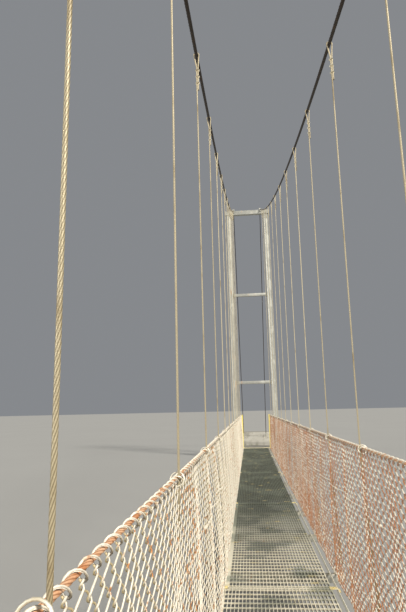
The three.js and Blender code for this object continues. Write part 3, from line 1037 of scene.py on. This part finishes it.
class BRIDGE_OT_nets(bpy.types.Operator):
    """Weave the side nets from zigzag wires hooked into each other"""

    bl_idname = "bridge.nets"
    bl_label = "Side Nets"

    def weave(self, name, side, nets, columns, sides, bends, finish):
        """A length of net, from one column of half diamonds to another. Its wires have a few sides each."""
        first, last = columns
        width = WALK_LENGTH / net_columns(nets)
        height = NET_TOPS[side] - NET_FOOT
        row_height = height / nets.rows
        thick, hook = (nets.wire, nets.hook) if side < 0 else (nets.rusty_wire, nets.rusty_hook)
        mesh = bmesh.new()
        behind = mesh.verts.layers.float.new("behind")
        row_of = mesh.verts.layers.float.new("row")
        for start in (0, 1):
            column = first + (first + start) % 2
            middle = (column + 0.5) * width
            points = net_wire_points(start, nets, width, thick, hook, bends)
            placed = [(out, middle + along, row * row_height) for along, out, row in points]
            made = wire(mesh, placed, thick / 2, sides, ACROSS)
            repeat(mesh, whole(made), (0, 2 * width, 0), (last - column + 1) // 2)
        for vertex in mesh.verts:
            out, run, up = vertex.co
            vertex[behind] = 1.0 if out > 0 else 0.0
            vertex[row_of] = up / row_height
            vertex.co = net_place(side, run, up / height, out, nets.bulge)
        fill_ends(mesh)
        return finish_piece(name, mesh, finish)

    def execute(self, context):
        nets, colours = context.scene.bridge_nets, context.scene.bridge_colours
        # The outer wires of both nets take a darker colour as painted shade.
        cream = rusting_wire(
            "cream net wire", colours.cream_zinc, colours.rust, 0.57, 0.64, 24.0, colours.shaded_rear_zinc, 0.05
        )
        rusty = rusting_wire(
            "rusty net wire", colours.dull_zinc, colours.net_rust, 0.49, 0.57, 24.0, colours.shaded_outer_zinc, 0.16
        )
        count = net_columns(nets)
        cuts = (0, round(count * 0.17), round(count * 0.42), count)
        parts = tuple(zip(("first", "close", "further"), zip(cuts, cuts[1:]), (3, 4, 3)))
        for name, side in SIDES:
            finish = cream if side < 0 else rusty
            for part, columns, sides in parts:
                bends = 4 if side < 0 and part == "close" else 2
                piece = self.weave(f"{name}_net_{part}", side, nets, columns, sides, bends, finish)
                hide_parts(f"{name}_side_net")
        return {"FINISHED"}


class BRIDGE_OT_level_wires(bpy.types.Operator):
    """Thread three level wires and a foot wire through each net, with clamps and foot brackets"""

    bl_idname = "bridge.level_wires"
    bl_label = "Level Wires"

    def foot_bracket(self, mesh, side, y):
        """A plate on a cross beam, its upstand at the net's foot, and the bolt through that."""
        foot = side * (NET_FOOT_X - 0.012)
        half_width, thick, upstand, bolt = 0.02, 0.006, 0.055, 0.036
        made = box(mesh, (foot, y - half_width, BEAM_TOP),
                   (side * 0.6, y + half_width, BEAM_TOP + thick), bevel=0.0015)
        made += box(mesh, (foot - thick / 2, y - half_width, BEAM_TOP),
                    (foot + thick / 2, y + half_width, BEAM_TOP + upstand), bevel=0.0015)
        made += rod(mesh, (foot, y, BEAM_TOP + bolt), (foot - side * 0.01, y, BEAM_TOP + bolt), 0.009, 6)
        return whole(made)

    def execute(self, context):
        nets, colours = context.scene.bridge_nets, context.scene.bridge_colours
        finish = rusting_wire("level wires", colours.cream_zinc, colours.rust, 0.52, 0.64, 9.0)
        clamp_half = Vector((0.009, 0.017, 0.009))
        for name, side in SIDES:
            wires, fittings = bmesh.new(), bmesh.new()
            for height in (FOOT_WIRE_HEIGHT, *LEVEL_HEIGHTS):
                line = [net_place(side, run, height, 0.0, nets.bulge) for run in runs_every(BAY / 12)]
                wire(wires, line, nets.level_wire / 2, 5, ACROSS)
            fill_ends(wires)
            clamp = whole(box(fittings, -clamp_half, clamp_half, bevel=0.003))
            for bay in range(BAYS):
                for place, height in enumerate(LEVEL_HEIGHTS):
                    run = (bay + 0.3 + 0.2 * place) * BAY
                    copy(fittings, clamp, net_place(side, run, height, 0.0, nets.bulge))
            bmesh.ops.delete(fittings, geom=clamp, context="VERTS")
            repeat(fittings, self.foot_bracket(fittings, side, y_of(BAY)), (0, BAY, 0), len(STATIONS))
            finish_piece(f"{name}_level_wires", wires, finish)
            finish_piece(f"{name}_net_fittings", fittings, finish, angle=40)
        return {"FINISHED"}


class BRIDGE_OT_handrails(bpy.types.Operator):
    """Lay the handrail cables and coil the lacing wire round them, one turn for each diamond"""

    bl_idname = "bridge.handrails"
    bl_label = "Handrails"

    def coil(self, side, thick, turns):
        """The lacing wire along one side, with its lower outer half marked as behind, where its finish
        paints shade.
        """
        mesh = bmesh.new()
        radius = LACING_RADIUS[side]
        pitch = WALK_LENGTH / turns
        made = bmesh.ops.create_circle(mesh, segments=4, radius=thick / 2)["verts"]
        slant = math.atan2(pitch, 2 * math.pi * radius)
        place = Matrix.Translation((radius, 0, 0)) @ Matrix.Rotation(math.pi / 2 - slant, 4, "X")
        bmesh.ops.transform(mesh, matrix=place, verts=made)
        twist(mesh, made, pitch, turns, 12)
        behind = mesh.verts.layers.float.new("behind")
        for vertex in mesh.verts:
            out, up, run = vertex.co
            vertex[behind] = 1.0 if up < 0 and out < up + radius else 0.0
            x = rail_x(side, run) + side * (out - LACING_INWARD[side])
            vertex.co = Vector((x, y_of(run), RAIL_Z - LACING_DROP[side] + up))
        fill_ends(mesh)
        return mesh

    def execute(self, context):
        scene = context.scene
        ropes, nets, colours = scene.bridge_ropes, scene.bridge_nets, scene.bridge_colours
        rail_finish = rope_finish(
            "rusty handrail cable", colours.rail_rust, colours.rail_grime, 0.46, 0.6, 0.1
        )
        # The lacing's lower outer half takes the darker outer colour as painted shade under the handrail
        # cable.
        lacing_finish = rusting_wire(
            "lacing wire", colours.cream_zinc, colours.rust, 0.53, 0.66, 30.0, colours.shaded_outer_zinc
        )
        turns = round(WALK_LENGTH / nets.diamond_length)
        for name, side in SIDES:
            low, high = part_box(f"{name}_handrail_cable")
            line = [(rail_x(side, run), y_of(run), RAIL_Z) for run in runs_every(BAY / 10)]
            line = [(side * RAIL_X, low.y, RAIL_Z), *line, (side * RAIL_X, high.y, RAIL_Z)]
            rope = laid_rope(Route(line, ACROSS), ropes.rail_diameter / 2, ropes.rail_lay, 0.01)
            nodes = (f"{name}_handrail_cable",)
            finish_piece(f"{name}_handrail_rope", rope, rail_finish, replaced=nodes)
            lacing = self.coil(side, ropes.lacing_wire, turns)
            finish_piece(f"{name}_lacing", lacing, lacing_finish)
        return {"FINISHED"}


class BRIDGE_OT_end_frames(bpy.types.Operator):
    """Weld the end frames and clamp the handrail cables to their posts"""

    bl_idname = "bridge.end_frames"
    bl_label = "End Frames"

    def dress_post(self, mesh, side, inner, away, low, high):
        """Cap, rail plate, gussets, clamps and ferrule of one post, and the bolts beside it in the sill."""
        x, y = side * POST_X, inner + away * POST_HALF
        rim = POST_HALF + 0.002
        box(mesh, (x - rim, y - rim, high.z - 0.001), (x + rim, y + rim, high.z + 0.004), bevel=0.0015)
        plate_inner, plate_outer, plate_half = 0.566, 0.572, 0.035
        box(mesh, (side * plate_inner, y - plate_half, RAIL_Z - 0.05),
            (side * plate_outer, y + plate_half, RAIL_Z + 0.03), bevel=0.002)
        sill_top, bolt_top, bolt_radius = low.z + SILL_THICK, low.z + 0.022, 0.012
        middle = (low.y + high.y) / 2
        for step in (-0.09, 0.0, 0.09):
            bolt = side * 0.4 + step
            rod(mesh, (bolt, middle, sill_top), (bolt, middle, bolt_top), bolt_radius, 6)
        gusset_half, gusset_thick_half, gusset_top = 0.02, 0.003, low.z + 0.07
        for gusset in (x - rim, x + rim):
            box(mesh, (gusset - gusset_thick_half, y - gusset_half, sill_top - 0.001),
                (gusset + gusset_thick_half, y + gusset_half, gusset_top), bevel=0.001)
        clamp_radius, clamp_wire = 0.0105, 0.003
        for clamp in (y - 0.022, y + 0.022):
            ring(mesh, (side * RAIL_X, clamp, RAIL_Z), ACROSS, UP, clamp_radius, clamp_wire, 12, 5)
        ferrule, half = inner + away * 0.052, 0.006
        ends = [(side * RAIL_X, ferrule + step, RAIL_Z) for step in (-half, half)]
        rod(mesh, *ends, 0.0135, 12)

    def execute(self, context):
        colours = context.scene.bridge_colours
        # The end frames' yellow is painted sunlight, and their sills are lighter still: painted sunlight
        # with wear.
        finish = steel_finish(
            "sunlit end frames", colours.end_steel, colours.end_steel, colours.rust, 0.62, 8.0, 0.1,
            trodden_and_sunlit=colours.sunlit_trodden_sill,
        )
        for name, away in (("near", -1), ("far", 1)):
            node = f"{name}_end_frame"
            low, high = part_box(node)
            mesh = eased_copy(node, 0.003)
            for _, side in SIDES:
                self.dress_post(mesh, side, low.y if away > 0 else high.y, away, low, high)
            finish_piece(f"{name}_end_gate", mesh, finish, replaced=(node,), angle=35)
        return {"FINISHED"}


class BRIDGE_OT_concrete(bpy.types.Operator):
    """Cast the abutments and anchor blocks with chamfered edges"""

    bl_idname = "bridge.concrete"
    bl_label = "Concrete"

    def execute(self, context):
        colours = context.scene.bridge_colours
        board = 0.14
        finish = concrete_finish(
            "board marked concrete", colours.concrete, colours.damp, colours.moss, board
        )
        for node in ("near_abutment", "far_abutment", "near_anchor_block", "far_anchor_block"):
            mesh = eased_copy(node, 0.018)
            finish_piece(f"{node}_cast", mesh, finish, replaced=(node,), angle=20)
        return {"FINISHED"}


class BRIDGE_OT_towers(bpy.types.Operator):
    """Raise the near portal and the far tower, with their foot plates, gussets, bolts and saddles"""

    bl_idname = "bridge.towers"
    bl_label = "Towers"

    def column(self, node, radius, finish):
        """A pipe on a foot plate, with a cap flange, four gussets and four foot bolts."""
        low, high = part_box(node)
        centre = (low + high) / 2
        half = (high.x - low.x) / 2
        plate_top = low.z + FOOT_PLATE
        cap, gusset_half = 0.014, 0.005
        mesh = bmesh.new()
        box(mesh, low, (high.x, high.y, plate_top), bevel=0.004)
        for bottom, top, round_radius in (
            (low.z + FOOT_PLATE / 2, high.z - 0.012, radius),
            (high.z - cap, high.z, radius + 0.012),
        ):
            rod(mesh, (centre.x, centre.y, bottom), (centre.x, centre.y, top), round_radius, 40)
        for quarter in range(4):
            turn = quarter * math.pi / 2
            outwards = Vector((math.cos(turn), math.sin(turn), 0))
            inner = centre + outwards * radius * 0.97
            outer = centre + outwards * (half - 0.015)
            outline = ((inner, 0.0), (outer, 0.0), (outer, 0.025), (inner, 0.17))
            thickness = outwards.cross(Vector(UP)) * gusset_half
            corners = [Vector((place.x, place.y, plate_top + rise)) - thickness for place, rise in outline]
            flat = [bmesh.ops.create_vert(mesh, co=corner)["vert"][0] for corner in corners]
            face = bmesh.ops.contextual_create(mesh, geom=flat)["faces"]
            grown = bmesh.ops.extrude_face_region(mesh, geom=face)["geom"]
            bmesh.ops.translate(mesh, vec=thickness * 2, verts=vertices_in(grown))
            turn += math.pi / 4
            bolt = centre + Vector((math.cos(turn), math.sin(turn), 0)) * (half - 0.04) * math.sqrt(2)
            for radius_of, rise, sides in ((0.02, 0.018, 6), (0.011, 0.045, 10)):
                rod(mesh, (bolt.x, bolt.y, plate_top), (bolt.x, bolt.y, plate_top + rise), radius_of, sides)
        finish_piece(f"{node}_pipe", mesh, finish, replaced=(node,), angle=35)

    def beam(self, node, finish):
        """A top beam with four bolts in each of its saddles."""
        low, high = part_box(node)
        mesh = eased_copy(node, 0.004)
        middle, base, head = (low.y + high.y) / 2, high.z - 0.07, 0.014
        for _, side in SIDES:
            for across, along in CORNERS:
                x, y = side * CABLE_X + across * 0.09, middle + along * 0.055
                rod(mesh, (x, y, base), (x, y, base + head), 0.013, 6)
        finish_piece(f"{node}_saddles", mesh, finish, replaced=(node,), angle=30)

    def tie(self, node, finish):
        """A tie beam with a flange and four bolts at each end."""
        low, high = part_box(node)
        centre = (low + high) / 2
        flange, rim, spread, head = 0.012, 0.03, 0.075, 0.012
        mesh = eased_copy(node, 0.008, 2)
        for _, side in SIDES:
            face = side * (high.x - flange)
            box(mesh, (side * high.x, low.y - rim, low.z - rim),
                (face, high.y + rim, high.z + rim), bevel=0.002)
            for along, up in CORNERS:
                y, z = centre.y + along * spread, centre.z + up * spread
                rod(mesh, (face, y, z), (face - side * head, y, z), 0.011, 6)
        finish_piece(f"{node}_bolted", mesh, finish, replaced=(node,), angle=35)

    def execute(self, context):
        colours = context.scene.bridge_colours
        pale = shade(colours.steel, 1.35)
        finish = steel_finish("galvanised towers", colours.steel, pale, colours.rust, 0.62, 3.0, 0.4)
        for tower, end in (("near_portal", "near"), ("far_tower", "far")):
            for name, _ in SIDES:
                self.column(f"{tower}_{name}_column", PIPE_RADII[end], finish)
            self.beam(f"{tower}_top_beam", finish)
        for level in ("lower", "middle"):
            self.tie(f"far_tower_{level}_tie_beam", finish)
        return {"FINISHED"}


class BRIDGE_OT_anchorages(bpy.types.Operator):
    """Fit a bearing plate, socket and bolts where each main cable meets its anchor block"""

    bl_idname = "bridge.anchorages"
    bl_label = "Anchorages"

    def socket(self, mesh):
        """Plate, nut, tapering socket and collar along Z from the origin. Returns all of it."""
        half, bottom, top, bolt_place = 0.13, 0.0005, 0.0255, 0.095
        nut_top, taper_top, collar_top = 0.06, 0.2, 0.23
        made = list(box(mesh, (-half, -half, bottom), (half, half, top), bevel=0.004))
        made += rod(mesh, (0, 0, top), (0, 0, nut_top), 0.055, 6)
        made += rod(mesh, (0, 0, nut_top), (0, 0, taper_top), 0.042, 24, end_radius=0.024)
        made += rod(mesh, (0, 0, taper_top), (0, 0, collar_top), 0.027, 24, end_radius=0.022)
        for across, up in CORNERS:
            x, y = across * bolt_place, up * bolt_place
            made += rod(mesh, (x, y, top), (x, y, 0.042), 0.018, 6)
            made += rod(mesh, (x, y, top), (x, y, 0.065), 0.0095, 10)
        return made

    def execute(self, context):
        colours = context.scene.bridge_colours
        finish = steel_finish("anchor sockets", colours.steel, colours.cream_zinc, colours.rust, 0.55, 10.0)
        mesh = bmesh.new()
        for _, side in SIDES:
            points = main_cable_route(side).points
            for end, inward in (points[:2], points[:-3:-1]):
                axis = (inward - end).normalized()
                turn = Matrix.Translation(end) @ axis.to_track_quat("Z", "Y").to_matrix().to_4x4()
                bmesh.ops.transform(mesh, matrix=turn, verts=self.socket(mesh))
        finish_piece("anchor_sockets", mesh, finish, angle=35)
        return {"FINISHED"}


class BRIDGE_OT_studio(bpy.types.Operator):
    """Lay the pale floor, hang the soft lights and place the camera"""

    bl_idname = "bridge.studio"
    bl_label = "Studio"

    def sun_light(self, context, name, strength, width, colour, direction):
        """A light from a direction. Its width in degrees softens the shadows."""
        lamp = bpy.data.lights.new(name, "SUN")
        lamp.energy = strength
        lamp.angle = math.radians(width)
        lamp.color = colour
        light = bpy.data.objects.new(name, lamp)
        light.rotation_mode = "QUATERNION"
        light.rotation_quaternion = Vector(direction).to_track_quat("Z", "Y")
        context.scene.collection.objects.link(light)

    def camera(self, context, view):
        lens = bpy.data.cameras.new("photo_view")
        lens.sensor_width = 36.0
        lens.lens = view.lens
        lens.clip_start = 0.02
        lens.clip_end = 500
        camera = bpy.data.objects.new("photo_view", lens)
        camera.location = (view.across, y_of(view.ahead), WALK_TOP + view.eye)
        level = Vector((math.sin(view.yaw), math.cos(view.yaw), 0))
        forward = level * math.cos(view.pitch) + Vector(UP) * math.sin(view.pitch)
        right = Vector((math.cos(view.yaw), -math.sin(view.yaw), 0))
        up = right.cross(forward)
        rolled_right = right * math.cos(view.roll) + up * math.sin(view.roll)
        rolled_up = up * math.cos(view.roll) - right * math.sin(view.roll)
        camera.rotation_mode = "QUATERNION"
        axes = Matrix((rolled_right, rolled_up, -forward)).transposed()
        camera.rotation_quaternion = axes.to_quaternion()
        context.scene.collection.objects.link(camera)
        context.scene.camera = camera

    def execute(self, context):
        scene = context.scene
        colours, view = scene.bridge_colours, scene.bridge_view
        mesh = bmesh.new()
        bmesh.ops.create_grid(mesh, x_segments=1, y_segments=1, size=300)
        data = bpy.data.meshes.new("studio_floor")
        mesh.to_mesh(data)
        mesh.free()
        data.materials.append(floor_finish("pale floor", colours.floor))
        floor = bpy.data.objects.new("studio_floor", data)
        scene.collection.objects.link(floor)

        self.sun_light(context, "key_light", view.sun, 9, (1.0, 0.95, 0.86), view.sun_from)
        self.sun_light(context, "low_light", view.low_sun, 25, (1.0, 0.97, 0.92), view.low_from)
        scene.world = bpy.data.worlds.new("studio")
        scene.world.use_nodes = True
        fill = scene.world.node_tree.nodes["Background"]
        fill.inputs["Color"].default_value = (0.96, 1.0, 1.06, 1)
        fill.inputs["Strength"].default_value = view.sky

        self.camera(context, view)
        scene.view_settings.view_transform = "Standard"
        return {"FINISHED"}


STEPS = (
    BRIDGE_OT_studio,
    BRIDGE_OT_main_cables,
    BRIDGE_OT_hangers,
    BRIDGE_OT_hanger_fittings,
    BRIDGE_OT_cross_beams,
    BRIDGE_OT_grating,
    BRIDGE_OT_side_bars,
    BRIDGE_OT_nets,
    BRIDGE_OT_level_wires,
    BRIDGE_OT_handrails,
    BRIDGE_OT_end_frames,
    BRIDGE_OT_concrete,
    BRIDGE_OT_towers,
    BRIDGE_OT_anchorages,
)

GROUPS = {
    "bridge_ropes": BridgeRopes,
    "bridge_nets": BridgeNets,
    "bridge_walkway": BridgeWalkway,
    "bridge_colours": BridgeColours,
    "bridge_view": BridgeView,
}


class BRIDGE_PT_parts(bpy.types.Panel):
    """Settings and steps of the footbridge"""

    bl_idname = "BRIDGE_PT_parts"
    bl_label = "Rope Footbridge"
    bl_space_type = "VIEW_3D"
    bl_region_type = "UI"
    bl_category = "Footbridge"

    def draw(self, context):
        for name, group in GROUPS.items():
            column = self.layout.column(align=True)
            column.label(text=group.__doc__)
            for key in group.__annotations__:
                column.prop(getattr(context.scene, name), key)
        for step in STEPS:
            self.layout.operator(step.bl_idname)


def register():
    for group in GROUPS.values():
        bpy.utils.register_class(group)
    for name, group in GROUPS.items():
        setattr(bpy.types.Scene, name, bpy.props.PointerProperty(type=group))
    for step in (*STEPS, BRIDGE_PT_parts):
        bpy.utils.register_class(step)


def unregister():
    for step in (BRIDGE_PT_parts, *reversed(STEPS)):
        bpy.utils.unregister_class(step)
    for name, group in reversed(GROUPS.items()):
        delattr(bpy.types.Scene, name)
        bpy.utils.unregister_class(group)


def main():
    register()
    for step in STEPS:
        family, name = step.bl_idname.split(".")
        getattr(getattr(bpy.ops, family), name)()


if __name__ == "__main__":
    main()
